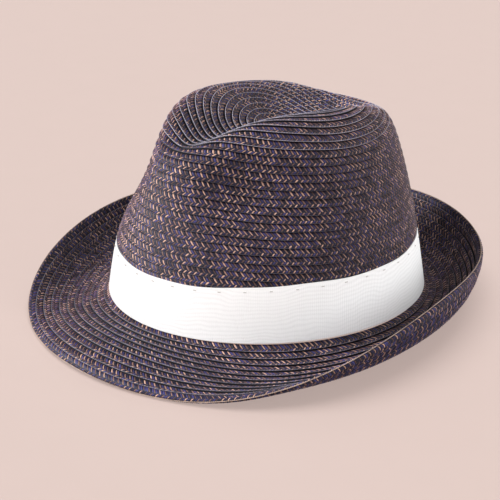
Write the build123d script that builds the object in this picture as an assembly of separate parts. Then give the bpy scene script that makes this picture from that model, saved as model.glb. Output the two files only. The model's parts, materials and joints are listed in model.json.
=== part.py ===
from build123d import *

import os
from bisect import bisect_right
from functools import lru_cache
from math import cos, exp, pi, radians, sin

# A short-brimmed fedora of sewn straw braid with a ribbon band.
# Millimetres and degrees. Front of the hat faces -Y, the wearer's left is +X.
# A "turn" is the angle round the hat in radians: 0 front, pi/2 wearer's left, pi rear.
# The hat is laid out upright, then leaned back and lifted onto its standing pose.

# Standing pose on a table
lean_back = 2.95            # tilt that rests both the front edge and the rear belly
lift = 9.27                 # height of the head line's centre above the table
slide_back = 2.73           # brings the centre of the outline over the origin

# Crown, outside of the braid
half_length = 103.0         # base oval, front to back
half_width = 88.0           # base oval, side to side
dome_height = 127.0         # before the crease is pushed in
braid_thickness = 2.0       # two overlapping rows of braid
taper = (0.205, -0.085, -0.015)         # lean of the wall: mean, cos, cos 2
roundness = (0.215, 0.065, -0.083)      # tightness of the top edge: mean, cos, cos 2
tip_hole = 5.0              # radius left for the first coil
head_line_gap = 0.05        # seam between the crown and the brim

# Teardrop crease along the top
crease_depth = 35.0
crease_extra_front = -2.5   # a little shallower at the front notch
crease_half_width_front = 21.5
crease_half_width_rear = 36.0
crease_start_level = 0.71   # level at which the crease begins to bite
crease_level_span = 0.40
crease_open_from = -85.0    # where the crease starts to widen
crease_open_over = 120.0
crease_end_from = 52.5      # where the crease starts to run out at the rear
crease_end_over = 54.0

# Pinch of the front corners
pinch_share = 0.31
pinch_y = -75.0
pinch_y_spread = 35.0
pinch_level = 0.67
pinch_level_spread = 0.26

# Brim, top surface; one value every 45 degrees from the front to the rear
brim_width = (49.5, 52.0, 54.0, 48.0, 52.0)
brim_land = (3.0, -17.0, 0.0, 2.0, 11.0)        # slope next to the crown
brim_edge = (-45.0, 26.0, 110.0, 88.0, 77.0)    # slope at the edge
brim_curl = (1.8, 1.8, 1.8, 1.2, 1.2)           # how late the slope changes
brim_fillet = (4.0, 6.0, 8.0, 6.0, 5.0)         # length of the turn out of the wall
brim_drop = 45.0            # extra downward slope right at the wall

# Folded edge row with its wire
edge_leg = 6.0              # depth of the folded row
edge_outer_half = 1.7
edge_inner_half = 1.0
wire_radius = 0.6
wire_sides = 12             # flats of the drawn wire and its sleeve
sleeve_radius = 0.85
sleeve_inner_radius = 0.65
sleeve_length = 14.0
plate_end_gap = 2.9         # the brim stops this far inside the edge
plate_end_half = 0.85       # half thickness of the brim inside the fold
plate_thinning = 9.0        # length over which the brim thins to that
edge_leg_points = 3         # points along each straight leg of the fold
edge_nose_steps = 6         # steps round its nose
sleeve_step = 1.0           # degrees between the sleeve's sections

# Ribbon band
ribbon_bottom = (0.1, 0.8, 1.0, 0.5, 0.1)       # every 45 degrees, front to rear
ribbon_top = (29.8, 32.6, 34.0, 35.5, 36.0)
keeper_bottom = 0.5
keeper_top = 35.0
ribbon_thickness = 0.8
ribbon_gap = 0.15
keeper_turn = 256.0
keeper_width = 12.0
tack_count = 40
tack_inset = 2.4            # below the ribbon's top edge
tack_length = 1.6
tack_size = 0.4

# Sweatband
sweatband_bottom = 1.0
sweatband_top = 33.0
sweatband_thickness = 0.9
sweatband_gap = 0.4
tape_width = 8.0
tape_thickness = 0.3
tape_bottom = 4.0
tape_top = 28.5
label_turn = 158.0
label_width = 25.0
label_bottom = 12.0
label_top = 24.0
label_thickness = 0.4
stitch_count = 64
stitch_height = 3.0
stitch_length = 4.0
stitch_size = 0.4
trim_gap = 0.08
slot_depth = 30.0           # reach of the cutter that trims a ring to a short strip

# Resolution of the sections
section_step = 10.0
crown_points = 22
brim_points = 15
meridian_steps = 300
brim_steps = 80
small_turn = 1e-4


def ease(x):
    """Smooth step from 0 to 1."""
    x = min(max(x, 0.0), 1.0)
    return x * x * (3 - 2 * x)


def three_term(terms, turn):
    return terms[0] + terms[1] * cos(turn) + terms[2] * cos(2 * turn)


def around(values, turn):
    """Smooth symmetric curve round the hat through values given every 45 degrees."""
    last = len(values) - 1
    total = 0.0
    for wave in range(last + 1):
        share = 0.0
        for station, value in enumerate(values):
            half = 0.5 if station in (0, last) else 1.0
            share += half * value * cos(pi * station * wave / last)
        half = 0.5 if wave in (0, last) else 1.0
        total += half * share * 2 / last * cos(wave * turn)
    return total


def crown_point(turn, rise):
    """Outside of the crown; rise runs from 0 at the head line to 1 at the tip."""
    level = sin(pi / 2 * (1 - (1 - rise) ** 2.5))
    reach = 1 - three_term(taper, turn) * level
    reach *= max(1 - level ** 3, 0.0) ** three_term(roundness, turn)
    x = half_width * reach * sin(turn)
    y = -half_length * reach * cos(turn)
    z = dome_height * level
    fore = (y - pinch_y) / pinch_y_spread
    over = (level - pinch_level) / pinch_level_spread
    x *= 1 - pinch_share * exp(-fore ** 2 - over ** 2)
    opened = ease((y - crease_open_from) / crease_open_over)
    crease_half_width = crease_half_width_front * (1 - opened) + crease_half_width_rear * opened
    depth = crease_depth + crease_extra_front * (1 - opened)
    depth *= 1 - ease((y - crease_end_from) / crease_end_over)
    depth *= ease((level - crease_start_level) / crease_level_span)
    z -= depth * exp(-(x / crease_half_width) ** 2)
    return Vector(x, y, z)


def crown_normal(turn, rise):
    up = crown_point(turn, min(rise + small_turn, 1)) - crown_point(turn, max(rise - small_turn, 0))
    side = crown_point(turn + small_turn, rise) - crown_point(turn - small_turn, rise)
    return side.cross(up).normalized()


@lru_cache(maxsize=None)
def meridian(turn):
    """Distances up the outside of the crown at even steps of rise."""
    lengths = [0.0]
    before = crown_point(turn, 0)
    for step in range(1, meridian_steps + 1):
        here = crown_point(turn, step / meridian_steps)
        lengths.append(lengths[-1] + (here - before).length)
        before = here
    return lengths


def wall_point(turn, along, depth):
    """Point a distance along the wall from the head line, depth under its outside."""
    lengths = meridian(turn)
    step = min(bisect_right(lengths, along), meridian_steps)
    share = (along - lengths[step - 1]) / (lengths[step] - lengths[step - 1])
    rise = (step - 1 + share) / meridian_steps
    return crown_point(turn, rise) - crown_normal(turn, rise) * depth


def outward(turn):
    """Level direction square to the base oval."""
    return Vector(sin(turn) / half_width, -cos(turn) / half_length, 0).normalized()


@lru_cache(maxsize=None)
def brim_line(turn):
    """Top of the brim in its own section: distance out, height and slope."""
    width = around(brim_width, turn)
    land = radians(around(brim_land, turn))
    edge = radians(around(brim_edge, turn))
    curl = around(brim_curl, turn)
    fillet = around(brim_fillet, turn)
    out = 0.0
    up = 0.0
    line = []
    for step in range(brim_steps + 1):
        share = step / brim_steps
        slope = land + (edge - land) * share ** curl
        slope -= radians(brim_drop) * exp(-share * width / fillet)
        line.append((out, up, slope))
        out += cos(slope) * width / brim_steps
        up += sin(slope) * width / brim_steps
    return line


def brim_point(turn, along, depth):
    """Point a distance along the brim from the crown, depth under its top."""
    line = brim_line(turn)
    place = along / around(brim_width, turn) * brim_steps
    step = min(int(place), brim_steps - 1)
    share = place - step
    out, up, slope = (a + (b - a) * share for a, b in zip(line[step], line[step + 1]))
    foot = Vector(half_width * sin(turn), -half_length * cos(turn), 0)
    return foot + outward(turn) * (out + sin(slope) * depth) + Vector(0, 0, up - cos(slope) * depth)


def closed_section(outside, inside):
    """Wire that runs along one side and back along the other."""
    return Wire([
        Spline(*outside),
        Line(outside[-1], inside[-1]),
        Spline(*reversed(inside)),
        Line(inside[0], outside[0]),
    ])


def turns(first, last, step):
    """Even turns in radians between two angles in degrees."""
    count = max(round((last - first) / step), 2)
    return [radians(first + (last - first) * k / count) for k in range(count + 1)]


def patch(section, first, last, step):
    """Solid lofted through the sections between two angles."""
    return Solid.make_loft([section(turn) for turn in turns(first, last, step)])


def full_ring(section):
    """Closed ring from its wearer's-left half and the mirror image."""
    half = patch(section, 0, 180, section_step)
    return (half + mirror(half, about=Plane.YZ)).solid()


def wall_strip(turn, bottom, top, nearer, deeper, count=3):
    """Section of a strip lying on the wall between two heights."""
    heights = [bottom + (top - bottom) * k / count for k in range(count + 1)]
    outside = [wall_point(turn, height, nearer) for height in heights]
    inside = [wall_point(turn, height, deeper) for height in heights]
    return closed_section(outside, inside)


def cut_from_ring(ring, angle, width, bottom, top):
    """The part of a ring that lies in an upright slot at one angle."""
    here = wall_point(radians(angle), (bottom + top) / 2, 0)
    ahead = wall_point(radians(angle) + small_turn, (bottom + top) / 2, 0) - here
    slot = Box(width, 4 * (top - bottom), slot_depth)
    square = ahead.cross(Vector(0, 0, 1))
    return (ring & (Plane(here, x_dir=ahead, z_dir=square).location * slot)).solid()


def crown():
    def section(turn):
        top = meridian(turn)[-1] - tip_hole
        return wall_strip(turn, head_line_gap, top, 0, braid_thickness, crown_points)

    return full_ring(section)


def tip_button():
    """First coil of the braid, closing the hole at the tip."""
    gap = 0.15
    dome = 0.3
    edge_round = 0.6
    coil = Cylinder(tip_hole - gap, braid_thickness + dome)
    coil = fillet(coil.edges().filter_by(GeomType.CIRCLE), edge_round)
    return Pos(crown_point(0, 1) - Vector(0, 0, (braid_thickness - dome) / 2)) * coil


def brim():
    def section(turn):
        width = around(brim_width, turn)
        last = width - plate_end_gap
        top = []
        bottom = []
        for k in range(brim_points + 1):
            along = last * k / brim_points
            thin = ease((along - last + plate_thinning) / plate_thinning)
            thin *= braid_thickness / 2 - plate_end_half
            top.append(brim_point(turn, along, thin))
            bottom.append(brim_point(turn, along, braid_thickness - thin))
        bottom[0] = wall_point(turn, 0, braid_thickness)
        return closed_section(top, bottom)

    return full_ring(section)


def edge_path(turn, half):
    """Hairpin round the brim's edge at a given distance from its middle."""
    nose = around(brim_width, turn) - edge_outer_half
    start = nose + edge_outer_half - edge_leg
    middle = braid_thickness / 2
    straight = [start + (nose - start) * k / edge_leg_points for k in range(edge_leg_points)]
    path = [brim_point(turn, along, middle - half) for along in straight]
    for k in range(edge_nose_steps + 1):
        angle = pi * k / edge_nose_steps
        path.append(brim_point(turn, nose + half * sin(angle), middle - half * cos(angle)))
    path += [brim_point(turn, along, middle + half) for along in reversed(straight)]
    return path


def brim_edge_row():
    def section(turn):
        return closed_section(edge_path(turn, edge_outer_half), edge_path(turn, edge_inner_half))

    return full_ring(section)


def wire_centre(turn):
    return brim_point(turn, around(brim_width, turn) - edge_outer_half, braid_thickness / 2)


def wire_section(radius):
    """Many-sided section square to the wire at a turn."""
    def section(turn):
        ahead = wire_centre(turn + small_turn) - wire_centre(turn - small_turn)
        square = Plane(wire_centre(turn), x_dir=outward(turn), z_dir=ahead)
        corners = [2 * pi * k / wire_sides for k in range(wire_sides)]
        points = [square.from_local_coords(Vector(radius * cos(a), radius * sin(a))) for a in corners]
        return Wire.make_polygon(points)

    return section


def brim_wire():
    return full_ring(wire_section(wire_radius))


def wire_sleeve():
    """Crimped tube that joins the two ends of the wire at the rear."""
    per_step = (wire_centre(pi) - wire_centre(pi - radians(sleeve_step))).length
    half = sleeve_length / 2 / per_step * sleeve_step
    bore_half = half + sleeve_step
    tube = patch(wire_section(sleeve_radius), 180 - half, 180 + half, sleeve_step)
    return tube - patch(wire_section(sleeve_inner_radius), 180 - bore_half, 180 + bore_half, sleeve_step)


def ribbon_band():
    def section(turn):
        bottom = around(ribbon_bottom, turn)
        top = around(ribbon_top, turn)
        return wall_strip(turn, bottom, top, -ribbon_gap - ribbon_thickness, -ribbon_gap)

    return full_ring(section)


def ribbon_keeper():
    """Short upright wrap that covers the join of the ribbon."""
    inner = -ribbon_gap - ribbon_thickness - trim_gap

    def section(turn):
        return wall_strip(turn, keeper_bottom, keeper_top, inner - ribbon_thickness, inner)

    return cut_from_ring(full_ring(section), keeper_turn, keeper_width, keeper_bottom, keeper_top)


def stitches(count, height_at, depth, length, size):
    """Short stitches lying along the wall, at a height given for each turn."""
    stitch = Box(length, size, size)
    placed = []
    for k in range(count):
        turn = 2 * pi * (k + 0.5) / count
        height = height_at(turn)
        here = wall_point(turn, height, depth)
        ahead = wall_point(turn + small_turn, height, depth) - here
        square = here - wall_point(turn, height, depth + 1)
        placed.append(Plane(here, x_dir=ahead, z_dir=square).location * stitch)
    return Compound(placed)


def ribbon_tacks():
    """Tacks that hold the ribbon, clear of the keeper."""
    depth = -ribbon_gap - ribbon_thickness - trim_gap - tack_size / 2
    keeper = wall_point(radians(keeper_turn), keeper_top - tack_inset, depth)
    tacks = stitches(
        tack_count, lambda turn: around(ribbon_top, turn) - tack_inset, depth, tack_length, tack_size
    )
    clear = keeper_width / 2 + tack_length
    return Compound([tack for tack in tacks.solids() if (tack.center() - keeper).length > clear])


def sweatband_face():
    return braid_thickness + sweatband_gap + sweatband_thickness


def sweatband():
    def section(turn):
        outer = braid_thickness + sweatband_gap
        return wall_strip(turn, sweatband_bottom, sweatband_top, outer, sweatband_face())

    return full_ring(section)


def sweatband_patch(angle, width, bottom, top, thickness):
    """Flat piece lying on the inside of the sweatband."""
    near = sweatband_face() + trim_gap

    def section(turn):
        return wall_strip(turn, bottom, top, near, near + thickness)

    return cut_from_ring(full_ring(section), angle, width, bottom, top)


def sweatband_tape():
    return sweatband_patch(180, tape_width, tape_bottom, tape_top, tape_thickness)


def size_label():
    return sweatband_patch(label_turn, label_width, label_bottom, label_top, label_thickness)


def sweatband_stitching():
    depth = sweatband_face() + trim_gap + stitch_size / 2
    return stitches(stitch_count, lambda turn: stitch_height, depth, stitch_length, stitch_size)


def standing(piece):
    """Lean the piece back and set it on the table."""
    return Pos(0, slide_back, lift) * Rot(-lean_back, 0, 0) * piece


pieces = {
    "crown": crown,
    "tip_button": tip_button,
    "brim": brim,
    "brim_edge_row": brim_edge_row,
    "brim_wire": brim_wire,
    "wire_sleeve": wire_sleeve,
    "ribbon_band": ribbon_band,
    "ribbon_keeper": ribbon_keeper,
    "ribbon_tacks": ribbon_tacks,
    "sweatband": sweatband,
    "sweatband_tape": sweatband_tape,
    "sweatband_stitching": sweatband_stitching,
    "size_label": size_label,
}

os.makedirs("parts", exist_ok=True)
for name, make in pieces.items():
    export_step(standing(make()), f"parts/{name}.step")
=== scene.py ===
import json

import bpy
import numpy as np
from mathutils import Matrix, Vector

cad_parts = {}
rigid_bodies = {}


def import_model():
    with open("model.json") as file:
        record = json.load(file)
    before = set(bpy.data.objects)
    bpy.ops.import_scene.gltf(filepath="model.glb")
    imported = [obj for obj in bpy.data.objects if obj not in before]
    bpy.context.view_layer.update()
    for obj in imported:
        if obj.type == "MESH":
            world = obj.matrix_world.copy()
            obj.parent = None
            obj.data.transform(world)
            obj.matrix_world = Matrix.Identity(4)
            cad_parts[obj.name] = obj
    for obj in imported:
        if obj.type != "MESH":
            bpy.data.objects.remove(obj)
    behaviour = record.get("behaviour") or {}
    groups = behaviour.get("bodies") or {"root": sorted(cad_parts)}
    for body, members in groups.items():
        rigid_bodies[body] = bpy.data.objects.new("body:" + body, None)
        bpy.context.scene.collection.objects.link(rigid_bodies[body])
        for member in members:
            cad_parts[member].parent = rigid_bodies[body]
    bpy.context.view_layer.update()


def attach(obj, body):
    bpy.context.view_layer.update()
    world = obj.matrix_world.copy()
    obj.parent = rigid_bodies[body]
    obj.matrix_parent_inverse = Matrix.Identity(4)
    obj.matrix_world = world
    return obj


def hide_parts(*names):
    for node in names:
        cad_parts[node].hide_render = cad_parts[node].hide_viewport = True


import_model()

# A short-brimmed fedora of sewn straw braid with a white ribbon band.
# A "turn" is the angle round the hat in radians: 0 front, pi/2 the wearer's left, pi rear.
# The hat is shaped upright in millimetres, front towards -Y, and stand() puts it in the frame.

rng = np.random.default_rng(7)
TAU = 2 * np.pi
TURNS = np.linspace(0, TAU, 361)

# ---- shape, as in the CAD ----

lean_back, slide_back, lift = 2.95, 2.73, 9.27
half_length, half_width, dome_height, thickness = 103.0, 88.0, 127.0, 2.0

# crown
rise_power, dome_power = 2.5, 3
taper = (0.205, -0.085, -0.015)         # lean of the wall: mean, cos, cos 2
roundness = (0.215, 0.065, -0.083)      # tightness of the top edge: mean, cos, cos 2

# pinch of the front corners, as a share of the hat's width there
pinch_share, pinch_y, pinch_y_spread = 0.31, -75.0, 35.0
pinch_level, pinch_level_spread = 0.67, 0.26

# teardrop crease along the top
crease_depth, crease_shallower_front = 35.0, 2.5
crease_half_front, crease_half_rear = 21.5, 36.0
crease_level, crease_level_span = 0.71, 0.40
crease_open_from, crease_open_over = -85.0, 120.0
crease_end_from, crease_end_over = 52.5, 54.0

# brim, with one value every 45 degrees from the front to the rear
brim_width = (49.5, 52.0, 54.0, 48.0, 52.0)
brim_land = (3.0, -17.0, 0.0, 2.0, 11.0)        # slope next to the crown
brim_edge = (-45.0, 26.0, 110.0, 88.0, 77.0)    # slope at the edge
brim_curl = (1.8, 1.8, 1.8, 1.2, 1.2)           # how late the slope changes
brim_fillet = (4.0, 6.0, 8.0, 6.0, 5.0)         # length of the turn out of the wall
brim_drop = 45.0                                # extra downward slope right at the wall

# visible folded edge row, a little smaller than the CAD's
edge_leg, edge_half = 4.9, 1.2

# ribbon, with one value every 45 degrees, and sweatband
ribbon_bottom = (0.1, 0.8, 1.0, 0.5, 0.1)
ribbon_top = (29.8, 32.6, 34.0, 35.5, 36.0)
band_bottom, band_top = 1.0, 33.0

# resolution of the tables; a few points round the tip share the next one's mean normal
fine_points, crown_points, tip_points = 1500, 420, 3
brim_steps, edge_points = 300, 61
samples_per_turn, fewest_places, fewest_straws = 240, 12, 8

# ---- braid: millimetres, and shares of a row's width across it ----

row_pitch = 5.0
crown_rows, brim_rows = 39, 10
crown_step, brim_step, inner_step, edge_step = 1.25, 1.2, 0.35, 0.1     # rise of one row

coil_start, spiral_start, wall_start = 0.2, 1.2, 15.2   # rows of the spiral, from the tip
crease_turns = 14
ribbon_clear, band_clear = 0.3, 0.4     # strands lie flat from this far above the bands down
edge_row_share = 4.2 / 51.0             # share of the brim that the edge row covers

pivot = 0.35                # where a tilted row keeps the surface's height
covered_height = 0.05       # greatest height of a row under a band
strip_sink, strip_body, strip_spacing = 0.12, 0.7, 3.0   # depth of its top, thickness, step
selvage_rise, selvage_sides, bead_swell = 0.18, 5, 0.4

apex = 0.6                  # where the two strokes of a chevron meet
strokes = ((0.0, apex + 0.01), (0.95, apex + 0.02))     # start and end of each stroke
slant = (1.9, 1.3)          # how far each stroke leans along the row
tan_half, navy_half = 0.29, 0.39        # half width of a straw, as a share of the pitch
bow, dip = 0.5, 0.3         # a stroke arches by bow and starts and ends lower by dip
width_jitter, place_jitter, height_jitter = 0.12, 0.07, 0.04


def ease(x):
    """Smooth step from 0 to 1."""
    x = np.clip(x, 0, 1)
    return x * x * (3 - 2 * x)


def unit(v):
    return v / np.maximum(np.linalg.norm(v, axis=-1, keepdims=True), 1e-9)


def around(values, turn):
    """Smooth symmetric curve round the hat through values given every 45 degrees."""
    last = len(values) - 1
    total = 0
    for wave in range(last + 1):
        share = sum((0.5 if k in (0, last) else 1) * value * np.cos(np.pi * k * wave / last)
                    for k, value in enumerate(values))
        total = total + (0.5 if wave in (0, last) else 1) * share * 2 / last * np.cos(wave * turn)
    return total


def crown_point(turn, rise):
    """Outside of the crown; rise runs from 0 at the head line to 1 at the tip."""
    level = np.sin(np.pi / 2 * (1 - (1 - rise) ** rise_power))
    lean = taper[0] + taper[1] * np.cos(turn) + taper[2] * np.cos(2 * turn)
    rounding = roundness[0] + roundness[1] * np.cos(turn) + roundness[2] * np.cos(2 * turn)
    reach = (1 - lean * level) * np.maximum(1 - level ** dome_power, 0) ** rounding
    x = half_width * reach * np.sin(turn)
    y = -half_length * reach * np.cos(turn)
    z = dome_height * level
    x = x * (1 - pinch_share * np.exp(-((y - pinch_y) / pinch_y_spread) ** 2
                                      - ((level - pinch_level) / pinch_level_spread) ** 2))
    opened = ease((y - crease_open_from) / crease_open_over)
    half = crease_half_front * (1 - opened) + crease_half_rear * opened
    depth = ((crease_depth - crease_shallower_front * (1 - opened))
             * (1 - ease((y - crease_end_from) / crease_end_over))
             * ease((level - crease_level) / crease_level_span))
    return np.stack([x, y, z - depth * np.exp(-(x / half) ** 2)], -1)


class Surface:
    """Table of points and outward normals over turn (0..2 pi) and a share from 0 to 1."""

    def __init__(self, points, normals):
        self.points, self.normals = points, normals

    def flipped(self, depth):
        """The other face of a sheet of this depth."""
        return Surface(self.points - self.normals * depth, -self.normals)

    def at(self, turn, share, height=0.0):
        """Points at a height above the surface."""
        rows, columns = self.points.shape[:2]
        a = (turn / TAU) % 1 * (rows - 1)
        b = np.clip(share, 0, 1) * (columns - 1)
        a, b = np.broadcast_arrays(a, b)
        i = np.minimum(a.astype(int), rows - 2)
        j = np.minimum(b.astype(int), columns - 2)
        f, g = (a - i)[..., None], (b - j)[..., None]

        def blend(table):
            near = table[i, j] * (1 - g) + table[i, j + 1] * g
            far = table[i + 1, j] * (1 - g) + table[i + 1, j + 1] * g
            return near * (1 - f) + far * f

        return blend(self.points) + unit(blend(self.normals)) * np.asarray(height)[..., None]


def normals_of(points, sign):
    """Normals of a table whose first and last rows are the same points."""
    along = np.gradient(points, axis=0)
    along[0] = along[-1] = points[1] - points[-2]
    return unit(np.cross(along, np.gradient(points, axis=1)) * sign)


def crown_surface():
    """Share 0 at the tip, 1 at the head line; also gives the length of each meridian."""
    turn = TURNS[:, None]
    rise = np.linspace(0, 1, fine_points)[None, :]
    fine = crown_point(turn, rise)
    step = np.linalg.norm(np.diff(fine, axis=1), axis=-1)
    length = np.concatenate([np.zeros((len(TURNS), 1)), np.cumsum(step, 1)], 1)
    share = np.linspace(1, 0, crown_points)
    even = np.stack([np.interp(share * row[-1], row, rise[0]) for row in length])
    points = crown_point(turn, even)
    normals = normals_of(points, -1)
    normals[:, :tip_points] = unit(normals[:, tip_points].mean(0))
    return Surface(points, normals), length[:, -1]


def brim_surface():
    """Share 0 at the crown, 1 at the edge; also gives its width at each turn."""
    turn = TURNS[:, None]
    share = np.linspace(0, 1, brim_steps + 1)[None, :]
    width = around(brim_width, turn)
    land, edge = np.radians(around(brim_land, turn)), np.radians(around(brim_edge, turn))
    slope = land + (edge - land) * share ** around(brim_curl, turn)
    drop = np.exp(-share * width / around(brim_fillet, turn))
    slope = slope - np.radians(brim_drop) * drop
    step = width / brim_steps
    out = np.concatenate([0 * width, np.cumsum(np.cos(slope[:, :-1]) * step, 1)], 1)
    rise = np.concatenate([0 * width, np.cumsum(np.sin(slope[:, :-1]) * step, 1)], 1)
    sine, cosine = np.sin(turn), np.cos(turn)
    foot = np.concatenate([half_width * sine, -half_length * cosine, 0 * turn], 1)
    away = unit(np.concatenate([sine / half_width, -cosine / half_length, 0 * turn], 1))
    upward = np.array([0, 0, 1.0])
    points = foot[:, None] + away[:, None] * out[..., None] + upward * rise[..., None]
    normals = away[:, None] * -np.sin(slope)[..., None] + upward * np.cos(slope)[..., None]
    return Surface(points, normals), width[:, 0]


def edge_surface(brim, width):
    """Outside of the folded edge row: share 0 on top of the brim, 1 underneath."""
    straight, nose = edge_leg - edge_half, np.pi * edge_half
    run = np.linspace(0, 2 * straight + nose, edge_points)[None, :]
    bend = np.clip((run - straight) / edge_half, 0, np.pi)
    back = np.clip(run - straight - nose, 0, None)
    start = width[:, None] - edge_leg
    along = start + np.minimum(run, straight) + edge_half * np.sin(bend) - back
    height = -thickness / 2 + edge_half * np.cos(bend)
    points = brim.at(TURNS[:, None], along / width[:, None], height)
    return Surface(points, normals_of(points, -1))


def stand(points):
    """Lean the hat back, set it on the table and change millimetres to metres."""
    angle = np.radians(lean_back)
    x, y, z = points[..., 0], points[..., 1], points[..., 2]
    return np.stack([x, y * np.cos(angle) + z * np.sin(angle) + slide_back,
                     z * np.cos(angle) - y * np.sin(angle) + lift], -1) / 1000


# ---- meshes ----

def mesh_object(name, points, quads, materials, slots=None, shade=None):
    """Smooth object from an array of points and an array of quads, with a shade per face."""
    mesh = bpy.data.meshes.new(name)
    points, quads = points.reshape(-1, 3), quads.reshape(-1, 4)
    mesh.vertices.add(len(points))
    mesh.vertices.foreach_set("co", points.astype(np.float32).ravel())
    mesh.loops.add(quads.size)
    mesh.loops.foreach_set("vertex_index", quads.astype(np.int32).ravel())
    mesh.polygons.add(len(quads))
    mesh.polygons.foreach_set("loop_start", np.arange(0, quads.size, 4, dtype=np.int32))
    for material in materials:
        mesh.materials.append(material)
    if slots is not None:
        mesh.polygons.foreach_set("material_index", slots.astype(np.int32).ravel())
    mesh.update(calc_edges=True)
    if shade is not None:
        layer = mesh.attributes.new("shade", "FLOAT", "FACE")
        layer.data.foreach_set("value", shade.astype(np.float32).ravel())
    mesh.polygons.foreach_set("use_smooth", np.full(len(quads), True))
    thing = bpy.data.objects.new(name, mesh)
    bpy.context.scene.collection.objects.link(thing)
    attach(thing, "root")
    return thing


def grid_quads(rows, columns, wrap_rows=False, wrap_columns=False):
    """Quads over a grid of points numbered row by row, one quad per line."""
    i = np.arange(rows if wrap_rows else rows - 1)[:, None]
    j = np.arange(columns if wrap_columns else columns - 1)[None, :]
    i2, j2 = (i + 1) % rows, (j + 1) % columns
    corners = (i * columns + j, i2 * columns + j, i2 * columns + j2, i * columns + j2)
    return np.stack(np.broadcast_arrays(*corners), -1).reshape(-1, 4)


class Row:
    """One run of braid, measured in millimetres along its middle.

    first is the row number where it starts, count the number of rows on the surface. From the
    share hidden_from, one value for each of TURNS, the braid lies flat under a band.
    """

    def __init__(self, surface, count, first, turns=1.0, spiral=False, hidden_from=None):
        self.surface, self.count, self.first, self.spiral = surface, count, first, spiral
        self.hidden_from = hidden_from
        self.phi = np.linspace(0, TAU * turns, int(samples_per_turn * turns) + 1)
        middle = stand(surface.at(self.phi, self.share(self.phi, 0.5))) * 1000
        step = np.linalg.norm(np.diff(middle, axis=0), axis=-1)
        self.length = np.concatenate([[0], np.cumsum(step)])

    def share(self, phi, across):
        start = self.first + (phi / TAU if self.spiral else 0)
        return (start + across) / self.count

    def at(self, u, across, height):
        """Points u along the row, a share of its width across it, at a height above it."""
        if not self.spiral:
            u = u % self.length[-1]
        phi = np.interp(u, self.length, self.phi)
        share = self.share(phi, across)
        if self.hidden_from is not None:
            limit = np.interp(phi % TAU, TURNS, self.hidden_from)
            height = np.where(share > limit, np.minimum(height, covered_height), height)
        return stand(self.surface.at(phi, share, height))


def shingle(across, step):
    """Height of a tilted row: tucked under at its inner edge, proud at its outer edge."""
    return step * (across - pivot)


def along_rows(name, rows, material, spacing, outline):
    """Closed band along each row; outline gives its section for a number of places along it."""
    points, quads, start = [], [], 0
    for row in rows:
        count = max(int(row.length[-1] / spacing), fewest_places)
        u = np.linspace(0, row.length[-1], count + 1)
        u = u if row.spiral else u[:-1]
        band = row.at(u[:, None], *outline(len(u)))
        points.append(band.reshape(-1, 3))
        quads.append(grid_quads(*band.shape[:2], not row.spiral, True) + start)
        start += len(points[-1])
    return mesh_object(name, np.concatenate(points), np.concatenate(quads), [material])


def strip(name, rows, material, step, tuck=0.2):
    """The flat plaited strip itself, under its strands."""
    across = np.array([[-tuck, 0.3, 0.7, 1.0, 1.0, 0.7, 0.3, -tuck]])
    height = shingle(across, step) - strip_sink
    height[:, 4:] -= strip_body
    return along_rows(name, rows, material, strip_spacing, lambda count: (across, height))


def selvage(name, rows, material, step, radius=0.16, place=0.98, bead=1.5):
    """Looped edge of the plait: a thin beaded line along each row's outer edge."""
    angle = np.arange(selvage_sides) / selvage_sides * TAU

    def outline(count):
        size = radius * (1 + bead_swell * (np.arange(count) % 2 * 2 - 1))[:, None]
        height = shingle(place, step) + selvage_rise + size * np.sin(angle)
        return place + size * np.cos(angle) / row_pitch, height

    return along_rows(name, rows, material, bead / 2, outline)


def strands(name, rows, step, spacing=1.55, rise=0.3, tan_every=2):
    """Plaited straws of every row: a long upper and a short lower stroke in each chevron."""
    w = np.array([0, 1 / 3, 2 / 3, 1])[None, :, None]       # along a stroke
    c = np.array([-1.0, 0, 1])[None, None, :]               # across it
    faces = grid_quads(w.size, c.size)
    points, shades, slots = [], [], []
    for row in rows:
        count = max(int(row.length[-1] / spacing / 2) * 2, fewest_straws)
        pitch = row.length[-1] / count
        u0 = (np.arange(count) * pitch)[:, None, None]
        for side, (start, end) in enumerate(strokes):
            jitter = rng.normal(0, 1, (3, count))[:, :, None, None]
            across = start + (end - start) * w + 0 * c + 0 * u0
            is_tan = (np.arange(count) + side) % tan_every == 0
            half = (pitch * np.where(is_tan, tan_half, navy_half))[:, None, None]
            half = c * half * (1 + width_jitter * jitter[0])
            u = u0 - slant[side] * (1 - w) + half + place_jitter * jitter[1]
            crest = (rise + height_jitter * jitter[2]) * (1 - c ** 2)
            arch = bow * np.sin(np.pi * np.clip(w * 1.05, 0, 1)) - dip
            stroke = row.at(u, across, shingle(across, step) + crest + arch)
            points.append(stroke.reshape(-1, w.size * c.size, 3))
            shades.append(np.repeat(rng.random(count), len(faces)))
            slots.append(np.repeat(~is_tan, len(faces)))
    points = np.concatenate(points)
    quads = faces + (np.arange(len(points)) * w.size * c.size)[:, None, None]
    return mesh_object(name, points, quads, [tan, navy],
                       np.concatenate(slots), np.concatenate(shades))


def shell(name, material, bottom, top, outer, inner, rib, ribs, wave=0.0):
    """Closed band on the crown wall between two heights, with woven ribs.

    wave is how far its top edge wanders up and down.
    """
    turn = np.arange(ribs * 4)[:, None] / (ribs * 4) * TAU
    level = np.array([[0, 0.004, 0.13, 0.25, 0.38, 0.5, 0.62, 0.75, 0.87, 0.996, 1]])
    low = around(bottom, turn)
    high = around(top, turn) + wave * np.sin(9 * turn + 1) * np.sin(4 * turn)
    height = low + (high - low) * level
    length = np.interp(turn, TURNS, crown_length)
    ripple = rib * np.cos(ribs * turn)
    front = crown.at(turn, 1 - height / length, outer + ripple + 0 * height)
    back = crown.at(turn, 1 - height / length, inner + 0 * height)
    points = np.concatenate([front, back[:, ::-1]], 1)
    return mesh_object(name, stand(points), grid_quads(*points.shape[:2], True, True), [material])


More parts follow.
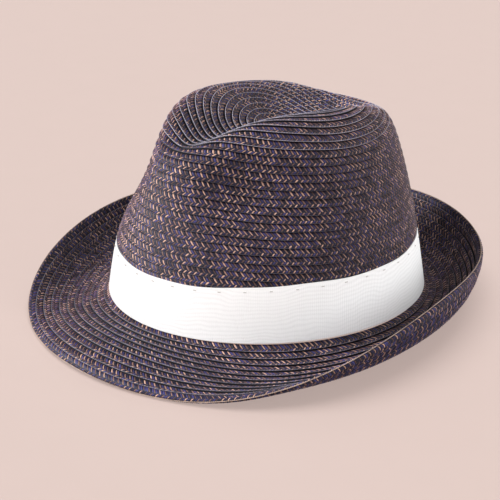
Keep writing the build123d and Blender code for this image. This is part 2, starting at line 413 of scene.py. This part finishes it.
def patch(name, material, centre, size, low, outer, inner, ribs, rib=0.05):
    """Small woven piece on the crown wall, with upright ribs, worn borders and closed ends.

    centre is its turn in degrees, and inner and outer are the heights of its two faces.
    """
    columns, levels = ribs * 4 + 1, 13
    middle, nearby = np.radians(centre), 0.01
    apart = crown.at(np.array([middle + nearby]), 0.9) - crown.at(np.array([middle]), 0.9)
    per_turn = np.linalg.norm(apart) / nearby
    u = np.linspace(-1, 1, columns)[:, None]
    v = np.linspace(-1, 1, levels)[None, :]
    turn = middle + u * size[0] / 2 / per_turn
    height = low + size[1] * (v + 1) / 2
    share = 1 - height / np.interp(turn % TAU, TURNS, crown_length)
    worn = 1 - 0.35 * (u ** 12 + v ** 12) / 2
    ripple = rib * np.cos(np.pi * ribs * u) * np.sign(outer - inner)
    front = inner + (outer - inner) * worn + ripple
    points = np.concatenate([crown.at(turn, share, front),
                             crown.at(turn, share, inner + 0 * front)[:, ::-1]], 1)
    loop = points.shape[1]
    j = np.arange(levels - 1)
    end = np.stack([j, j + 1, loop - 2 - j, loop - 1 - j], -1)
    last = (end + (columns - 1) * loop)[:, ::-1]
    quads = np.concatenate([grid_quads(columns, loop, False, True), end, last])
    return mesh_object(name, stand(points), quads, [material])


# ---- materials ----

def new_material(name):
    material = bpy.data.materials.new(name)
    material.use_nodes = True
    shader = material.node_tree.nodes["Principled BSDF"]
    return material, material.node_tree, shader


def add(tree, kind, **settings):
    """New node, with each setting given to the input or the attribute of that name."""
    node = tree.nodes.new(kind)
    for key, value in settings.items():
        if key in node.inputs:
            node.inputs[key].default_value = value
        else:
            setattr(node, key, value)
    return node


def noise(tree, scale, detail=2.0):
    place = add(tree, "ShaderNodeTexCoord")
    node = add(tree, "ShaderNodeTexNoise", Scale=scale, Detail=detail)
    tree.links.new(place.outputs["Object"], node.inputs["Vector"])
    return node.outputs["Fac"]


def ramp(tree, source, stops):
    """Colour from a value, through (position, colour) stops."""
    node = add(tree, "ShaderNodeValToRGB")
    while len(node.color_ramp.elements) < len(stops):
        node.color_ramp.elements.new(0.5)
    for element, (place, colour) in zip(node.color_ramp.elements, stops):
        element.position = place
        element.color = (*colour, 1)
    tree.links.new(source, node.inputs["Fac"])
    return node.outputs["Color"]


def mixed(tree, first, second, share):
    """Weighted sum of two values, with this share of the first."""
    a = add(tree, "ShaderNodeMath", operation="MULTIPLY")
    b = add(tree, "ShaderNodeMath", operation="MULTIPLY_ADD")
    tree.links.new(first, a.inputs[0])
    a.inputs[1].default_value = share
    tree.links.new(second, b.inputs[0])
    b.inputs[1].default_value = 1 - share
    tree.links.new(a.outputs[0], b.inputs[2])
    return b.outputs[0]


def finish_material(tree, shader, colour, relief, strength, roughness, distance=0.0001):
    """Give the shader its colour, and bump and roughness that follow the same relief."""
    tree.links.new(colour, shader.inputs["Base Color"])
    bump = add(tree, "ShaderNodeBump", Strength=strength, Distance=distance)
    tree.links.new(relief, bump.inputs["Height"])
    tree.links.new(bump.outputs["Normal"], shader.inputs["Normal"])
    span = add(tree, "ShaderNodeMapRange")
    span.inputs["To Min"].default_value = roughness[0]
    span.inputs["To Max"].default_value = roughness[1]
    tree.links.new(relief, span.inputs["Value"])
    tree.links.new(span.outputs["Result"], shader.inputs["Roughness"])


def straw(name, stops):
    """Dyed paper straw: tone varies from strand to strand, with fine grain."""
    material, tree, shader = new_material(name)
    tone = add(tree, "ShaderNodeAttribute", attribute_name="shade").outputs["Fac"]
    colour = ramp(tree, mixed(tree, tone, noise(tree, 160), 0.85), stops)
    finish_material(tree, shader, colour, noise(tree, 2600, 3), 0.5, (0.42, 0.65))
    shader.inputs["Specular IOR Level"].default_value = 0.3
    shader.inputs["Sheen Weight"].default_value = 0.15
    shader.inputs["Sheen Roughness"].default_value = 0.35
    shader.inputs["Sheen Tint"].default_value = (0.78, 0.78, 1.0, 1)
    return material


def cloth(name, dark, light, scale, strength, sheen=0.0):
    """Woven cloth or thread with a fine weave of the given scale and soft patches."""
    material, tree, shader = new_material(name)
    weave = noise(tree, scale, 3)
    colour = ramp(tree, mixed(tree, weave, noise(tree, 45), 0.5), ((0.3, dark), (0.7, light)))
    finish_material(tree, shader, colour, weave, strength, (0.7, 0.9))
    shader.inputs["Sheen Weight"].default_value = sheen
    return material


def watered(name, dark, light):
    """Ribbed ribbon whose pressed ribs show faint wavy bands."""
    material, tree, shader = new_material(name)
    place = add(tree, "ShaderNodeTexCoord")
    waves = add(tree, "ShaderNodeTexWave", bands_direction="Z", Scale=143.0, Distortion=20.0)
    waves.inputs["Detail Scale"].default_value = 0.2
    tree.links.new(place.outputs["Object"], waves.inputs["Vector"])
    weave = noise(tree, 1800, 3)
    bands = mixed(tree, waves.outputs["Fac"], noise(tree, 14), 0.3)
    colour = ramp(tree, mixed(tree, bands, weave, 0.7), ((0.25, dark), (0.6, light)))
    finish_material(tree, shader, colour, weave, 0.25, (0.7, 0.9))
    shader.inputs["Sheen Weight"].default_value = 0.2
    return material


def steel(name, dark, light):
    """Drawn wire."""
    material, tree, shader = new_material(name)
    drawn = noise(tree, 900, 3)
    colour = ramp(tree, drawn, ((0.3, dark), (0.7, light)))
    finish_material(tree, shader, colour, drawn, 0.2, (0.25, 0.45), 0.00005)
    shader.inputs["Metallic"].default_value = 1.0
    return material


tan = straw("straw_tan", (
    (0.10, (0.070, 0.034, 0.031)), (0.5, (0.175, 0.092, 0.074)), (0.9, (0.44, 0.265, 0.20))))
navy = straw("straw_navy", (
    (0.10, (0.003, 0.002, 0.014)), (0.5, (0.0075, 0.0062, 0.038)), (0.9, (0.034, 0.031, 0.125))))
# near-black strip under the strands: the braid's own dark back, darkened into painted shade that
# shows in the gaps between strands and rows
gap_shade_strip = cloth("straw_gap_shade_strip", (0.002, 0.002, 0.005), (0.008, 0.007, 0.014), 900, 0.4)
ribbon_cloth = watered("ribbon_grosgrain", (0.78, 0.78, 0.78), (0.90, 0.90, 0.90))
thread = cloth("thread", (0.70, 0.68, 0.64), (0.85, 0.84, 0.80), 3000, 0.3)
edge_thread = cloth("edge_thread", (0.08, 0.055, 0.05), (0.42, 0.31, 0.25), 700, 0.3)
tack_thread = cloth("tack_thread", (0.42, 0.41, 0.40), (0.60, 0.58, 0.56), 3000, 0.3)
# one grey-blue edge thread in three copies: pale with painted highlight for the crease, dark with
# painted shade for the crown wall, painted half shade for the brim
painted_highlight_selvage = cloth("painted_highlight_selvage", (0.07, 0.065, 0.09), (0.40, 0.37, 0.44), 900, 0.3)
painted_shade_selvage = cloth("painted_shade_selvage", (0.012, 0.011, 0.02), (0.085, 0.08, 0.11), 700, 0.3)
painted_half_shade_selvage = cloth("painted_half_shade_selvage", (0.03, 0.028, 0.042), (0.24, 0.22, 0.27), 800, 0.3)
band_cloth = cloth("sweatband_cloth", (0.40, 0.33, 0.25), (0.55, 0.46, 0.36), 1500, 0.4, 0.1)
tape_cloth = cloth("tape_cloth", (0.30, 0.24, 0.18), (0.42, 0.34, 0.26), 1500, 0.4)
label_cloth = cloth("label_cloth", (0.70, 0.69, 0.66), (0.84, 0.83, 0.80), 2200, 0.2, 0.2)
wire_steel = steel("wire_steel", (0.35, 0.35, 0.36), (0.6, 0.6, 0.61))

crown, crown_length = crown_surface()
brim, width = brim_surface()
edge = edge_surface(brim, width)
inside = crown.flipped(thickness)
under = brim.flipped(thickness)

# ---- crown: one spiral from the tip down, which ends a row above the head line ----

under_ribbon = 1 - (around(ribbon_top, TURNS) + ribbon_clear) / crown_length
under_band = 1 - (band_top + band_clear) / crown_length


def spiral(surface, first, turns, hidden_from=None):
    return [Row(surface, crown_rows, first, turns, True, hidden_from)]


whole_coil = spiral(crown, coil_start, 1.0)
below_coil = spiral(crown, spiral_start, crown_rows - 1 - spiral_start, under_ribbon)
inner_spiral = spiral(inside, coil_start, crown_rows - 1 - coil_start, under_band)
crease_rows = spiral(crown, spiral_start, crease_turns)
wall_rows = spiral(crown, wall_start, crown_rows - 1 - wall_start, under_ribbon)

tip_strip = strip("tip_strip", whole_coil, gap_shade_strip, crown_step)
tip_straws = strands("tip_straws", whole_coil, crown_step)
crown_strip = strip("crown_strip", below_coil, gap_shade_strip, crown_step)
inside_strip = strip("crown_inside_strip", inner_spiral, gap_shade_strip, inner_step, tuck=0.1)
inside_straws = strands("crown_inside_straws", inner_spiral, inner_step, spacing=2.0)
crease_straws = strands("crease_straws", crease_rows, crown_step)
wall_straws = strands("wall_straws", wall_rows, crown_step)
# row edges with painted highlight in the crease and painted shade on the wall
crease_selvage = selvage("crease_selvage", crease_rows, painted_highlight_selvage, crown_step, radius=0.2)
wall_selvage = selvage("wall_selvage", wall_rows, painted_shade_selvage, crown_step)
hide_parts("crown")
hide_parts("tip_button")

# ---- brim: closed rings from the crown outwards, with the folded row round the edge ----

ring_count = brim_rows / (1 - edge_row_share)
rings = [Row(brim, ring_count, k) for k in range(brim_rows)]
under_rings = [Row(under, ring_count, k) for k in range(brim_rows)]
brim_strip = strip("brim_strip", rings, gap_shade_strip, brim_step)
brim_straws = strands("brim_straws", rings, brim_step)
under_strip = strip("brim_under_strip", under_rings, gap_shade_strip, inner_step)
under_straws = strands("brim_under_straws", under_rings, inner_step, spacing=1.1, tan_every=4)
# row edges of the brim in painted half shade
brim_selvage = selvage("brim_selvage", rings, painted_half_shade_selvage, brim_step)
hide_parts("brim")

edge_rows = [Row(edge, 2, k) for k in range(2)]
edge_strip = strip("edge_strip", edge_rows, gap_shade_strip, edge_step, tuck=0.0)
edge_straws = strands("edge_straws", edge_rows, edge_step, spacing=1.1, rise=0.2, tan_every=3)
lip_cord = selvage("lip_cord", edge_rows[:1], edge_thread, edge_step, 0.24, place=1.0, bead=1.0)
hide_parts("brim_edge_row")

# ---- ribbon, sweatband and what is sewn on them ----

ribbon = shell("ribbon", ribbon_cloth, ribbon_bottom, ribbon_top, outer=0.95, inner=0.2,
               rib=0.07, ribs=480, wave=0.4)
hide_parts("ribbon_band")
band = shell("sweat_band", band_cloth, (band_bottom,) * 5, (band_top,) * 5, outer=-3.3,
             inner=-2.4, rib=0.05, ribs=300)
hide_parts("sweatband")

# name, CAD node, slot, material, angle, width and height, lower edge, outer and inner face, ribs
patches = (
    ("ribbon_wrap", "ribbon_keeper", "ribbon",
     ribbon_cloth, 256, (12.0, 34.5), 0.5, 1.85, 1.08, 16),
    ("band_tape", "sweatband_tape", "sweatband_tape",
     tape_cloth, 180, (8.0, 24.5), 4.0, -3.68, -3.4, 10),
    ("blank_label", "size_label", "label",
     label_cloth, 158, (25.0, 12.0), 12.0, -3.75, -3.4, 24),
)
sewn_on = {}
for name, node, slot, *make in patches:
    piece = sewn_on[name] = patch(name, *make)
    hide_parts(node)

# ---- carried-over trim ----

finishes = {
    "brim_wire": wire_steel,
    "wire_sleeve": wire_steel,
    "ribbon_tacks": tack_thread,
    "sweatband_stitching": thread,
}
for node, material in finishes.items():
    thing = bpy.data.objects[node]
    thing.data.materials.clear()
    thing.data.materials.append(material)

# ---- floor ----

floor_material = cloth("floor_paper", (0.514, 0.405, 0.370), (0.522, 0.411, 0.376), 30, 0.05)
bpy.ops.mesh.primitive_plane_add(size=12, location=(0, 0, 0))
floor = bpy.context.object
floor.name = "floor"
floor.data.materials.append(floor_material)

# ---- light: the white ribbon and the floor have suns of their own ----

hat_pieces = bpy.data.collections.new("hat_pieces")
white_pieces = bpy.data.collections.new("white_pieces")
stage_pieces = bpy.data.collections.new("stage_pieces")
for thing in bpy.data.objects:
    if thing.type == "MESH":
        white = thing.data.materials[0] in (ribbon_cloth, tack_thread)
        group = stage_pieces if thing is floor else white_pieces if white else hat_pieces
        group.objects.link(thing)


def sun_light(name, towards, strength, angle, lit, casts=True):
    """Soft sun from the given direction that lights one collection."""
    light = bpy.data.lights.new(name, "SUN")
    light.angle = np.radians(angle)
    light.energy = strength
    light.use_shadow = casts
    thing = bpy.data.objects.new(name, light)
    thing.light_linking.receiver_collection = lit
    thing.rotation_euler = Vector(towards).to_track_quat("Z", "Y").to_euler()
    bpy.context.scene.collection.objects.link(thing)


for lit, key in ((hat_pieces, 8.2), (white_pieces, 3.3)):
    sun_light("key", (-0.67, -0.97, 0.68), key, 30, lit)
    sun_light("fill", (0.9, 0.35, 0.55), 2.4, 80, lit)
    sun_light("rim", (0.2, 1.0, 0.35), 1.2, 60, lit)
sun_light("front", (0.7, -0.7, 0.4), 0.7, 80, white_pieces)
sun_light("top", (-0.3, 0.25, 1.2), 1.4, 60, stage_pieces)
sun_light("room", (0, 0, 1), 2.7, 45, stage_pieces, casts=False)

# dim ambient light, behind which the camera sees a wall of the floor's colour
world = bpy.context.scene.world or bpy.data.worlds.new("world")
bpy.context.scene.world = world
world.use_nodes = True
sky = world.node_tree
ambient = sky.nodes["Background"]
ambient.inputs["Color"].default_value = (1.0, 0.98, 0.98, 1)
ambient.inputs["Strength"].default_value = 0.2
wall = add(sky, "ShaderNodeBackground", Color=(0.80, 0.635, 0.58, 1))
seen = add(sky, "ShaderNodeLightPath")
either = add(sky, "ShaderNodeMixShader")
sky.links.new(seen.outputs["Is Camera Ray"], either.inputs[0])
sky.links.new(ambient.outputs[0], either.inputs[1])
sky.links.new(wall.outputs[0], either.inputs[2])
sky.links.new(either.outputs[0], sky.nodes["World Output"].inputs["Surface"])
bpy.context.scene.view_settings.view_transform = "Standard"

# ---- camera: placed round the upright hat, then turned to how the hat stands ----

azimuth, elevation, roll = np.radians(45.14), np.radians(22.8), np.radians(-1.04)
aim_height, aim_left, aim_down, distance, nearer = 45.0, 12.1, 23.29, 893.75, 0.9966
camera_lean, focal_length = 2.306, 106.2

right = np.array([np.cos(azimuth), np.sin(azimuth), 0])
back = np.array([np.sin(azimuth) * np.cos(elevation), -np.cos(azimuth) * np.cos(elevation),
                 np.sin(elevation)])
up = np.cross(back, right)
eye = np.array([0, 0, aim_height]) - aim_left * right - aim_down * up + distance * back
level = Matrix.Rotation(np.radians(camera_lean - lean_back), 3, "X")
axes = [level @ Vector(v) for v in (right * np.cos(roll) - up * np.sin(roll),
                                    right * np.sin(roll) + up * np.cos(roll), back)]
place = level @ Vector(eye * nearer) + Vector((0, slide_back, lift))
camera = bpy.data.objects.new("camera", bpy.data.cameras.new("camera"))
camera.data.lens = focal_length
camera.data.clip_end = 50
camera.matrix_world = Matrix.Translation(place / 1000) @ Matrix(axes).transposed().to_4x4()
bpy.context.scene.collection.objects.link(camera)
bpy.context.scene.camera = camera
